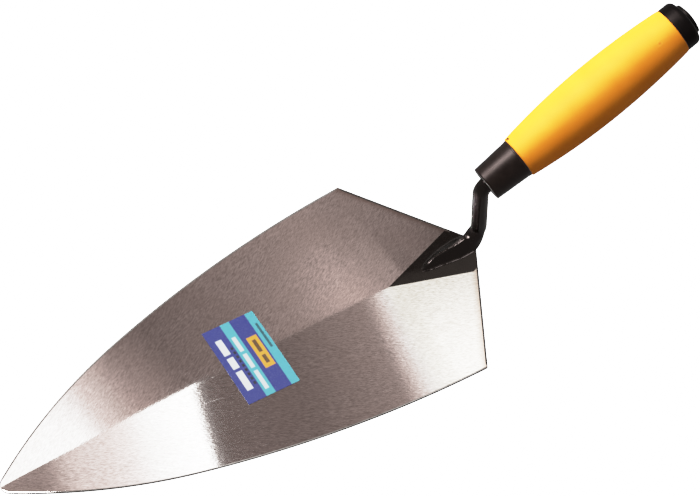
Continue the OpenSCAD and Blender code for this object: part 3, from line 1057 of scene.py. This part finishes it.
def circle(radius, z, steps=48):
    angles = [math.tau * k / steps for k in range(steps)]
    return [(radius * math.cos(a), radius * math.sin(a), z) for a in angles]


def add_surround(radius, height, top_radius):
    """A ring round the scene and a disc high above it, so that the blade looks polished from every side."""
    lower, upper = circle(radius, -height), circle(radius, height)
    count = len(lower)
    sides = [(k, (k + 1) % count, (k + 1) % count + count, k + count) for k in range(count)]
    add_cloud("cloud_ring", lower + upper, sides, 1.1)
    add_cloud("cloud_top", circle(top_radius, height), [tuple(range(count))], 2.1)


# The two overhead reflectors, in mm. Levels are as they are shown, from 0 to 1. The near one is a bright card
# that ends sharply at a dark gap, with a second card at the heel; the far one is a card that fades into a gap
# with one soft light in it.
PANEL_Z = 1000.0
PANEL_X = (-200.0, 620.0)
PANEL_MAX = 4.0
SLANT_FROM = 590.0
STEEL_REFLECTS = 0.6
CLEAN_LEVEL, DIM_LEVEL, DIM_WARMTH = 0.95, 0.45, 0.9
FADE_STEPS = 2
NEAR_CARD = [(-110, 0.30), (-45, 0.30), (-15, 0.70), (25, 0.80), (70, 0.95), (121, 1.0)]
NEAR_GAP = [(123, 0.15), (230, 0.16), (320, 0.27), (338, 0.74)]
NEAR_STOPS = NEAR_CARD + NEAR_GAP + [(350, 0.80, -0.3), (460, 0.75, -0.4)]
NEAR_OUTER_STOPS = NEAR_CARD + NEAR_GAP + [(350, 0.85, -0.1), (385, 0.95, -0.1), (460, 0.95, -0.1)]
FAR_STOPS = [(-60, 0.95), (10, 0.95), (55, 0.60), (80, 0.38), (130, 0.18), (210, 0.20), (270, 0.30),
             (325, 0.50), (400, 0.20), (460, 0.10)]
FAR_OUTER_STOPS = [(-60, 0.93), (-20, 0.93), (35, 0.70), (85, 0.22), (130, 0.14), (335, 0.30), (370, 0.25),
                   (460, 0.20)]
build_floor()
build_world()
add_panel("panel_near", (380, 624), (0.25, 0.30, 0.22), NEAR_STOPS, NEAR_OUTER_STOPS, (568, 480))
add_panel("panel_far", (626, 900), (0.0, 0.0, 0.0), FAR_STOPS, FAR_OUTER_STOPS, (680, 770))
add_surround(3.2, 2.9, 1.3)

# These pieces show in no mirror image
for piece in ("shank_forged", "weld_bead", "ferrule_tapered", "grip_moulded", "end_cap_domed", "end_plug_disc"):
    bpy.data.objects[piece].visible_glossy = False
core.visible_glossy = False

# Lights: the key lights everything, and each of the others acts on one piece
WARM_WHITE = (1.0, 0.985, 0.96)
HANDLE_MIDDLE = (0.06, 0.0, 0.07)
NECK_FOOT = (0.0017, 0.0, 0.03)
WELD_MIDDLE = (-0.02, 0.0, 0.005)
add_area("key", HANDLE_MIDDLE, (-0.338, 0.319, 0.885), 1.6, (0.55, 0.55), 43, WARM_WHITE)
side = add_area("side", HANDLE_MIDDLE, (-0.219, 0.750, 0.624), 1.6, (0.5, 0.5), 84, WARM_WHITE)
side.visible_glossy = False
side.light_linking.receiver_collection = receivers("side_light", "grip_moulded")
low = add_area("low", NECK_FOOT, (-0.541, 0.293, -0.787), 0.5, (0.55, 0.35), 1.6, (1.0, 0.87, 0.86))
only_shank = receivers("low_light", "shank_forged")
low.light_linking.receiver_collection = only_shank
low.light_linking.blocker_collection = only_shank
low.data.cycles.use_multiple_importance_sampling = False
rim = add_area("rim", WELD_MIDDLE, (0.33, -0.76, 0.49), 1.2, (0.45, 0.45), 4.5)
rim.light_linking.receiver_collection = receivers("rim_light", "weld_bead")

# Camera
AIM = (-57.0, 32.6, 0.0)
AZIMUTH, ELEVATION, ROLL = math.radians(-32.42), math.radians(51.95), math.radians(-0.56)
CAMERA_DISTANCE = 1.3
SENSOR = 36.0
LENS = 127.92


def build_camera():
    """A camera that looks at AIM from AZIMUTH and ELEVATION, rolled a little."""
    level = math.cos(ELEVATION)
    back = Vector((math.sin(AZIMUTH) * level, -math.cos(AZIMUTH) * level, math.sin(ELEVATION)))
    right = Vector((math.cos(AZIMUTH), math.sin(AZIMUTH), 0.0))
    up = back.cross(right)
    right_rolled = math.cos(ROLL) * right + math.sin(ROLL) * up
    up_rolled = -math.sin(ROLL) * right + math.cos(ROLL) * up
    data = bpy.data.cameras.new("camera")
    data.sensor_width = SENSOR
    data.lens = LENS
    camera = bpy.data.objects.new("camera", data)
    turn = Matrix((right_rolled, up_rolled, back)).transposed().to_4x4()
    camera.matrix_world = Matrix.Translation(Vector(AIM) * MM + back * CAMERA_DISTANCE) @ turn
    bpy.context.scene.collection.objects.link(camera)
    bpy.context.scene.camera = camera


build_camera()
apply_tone()
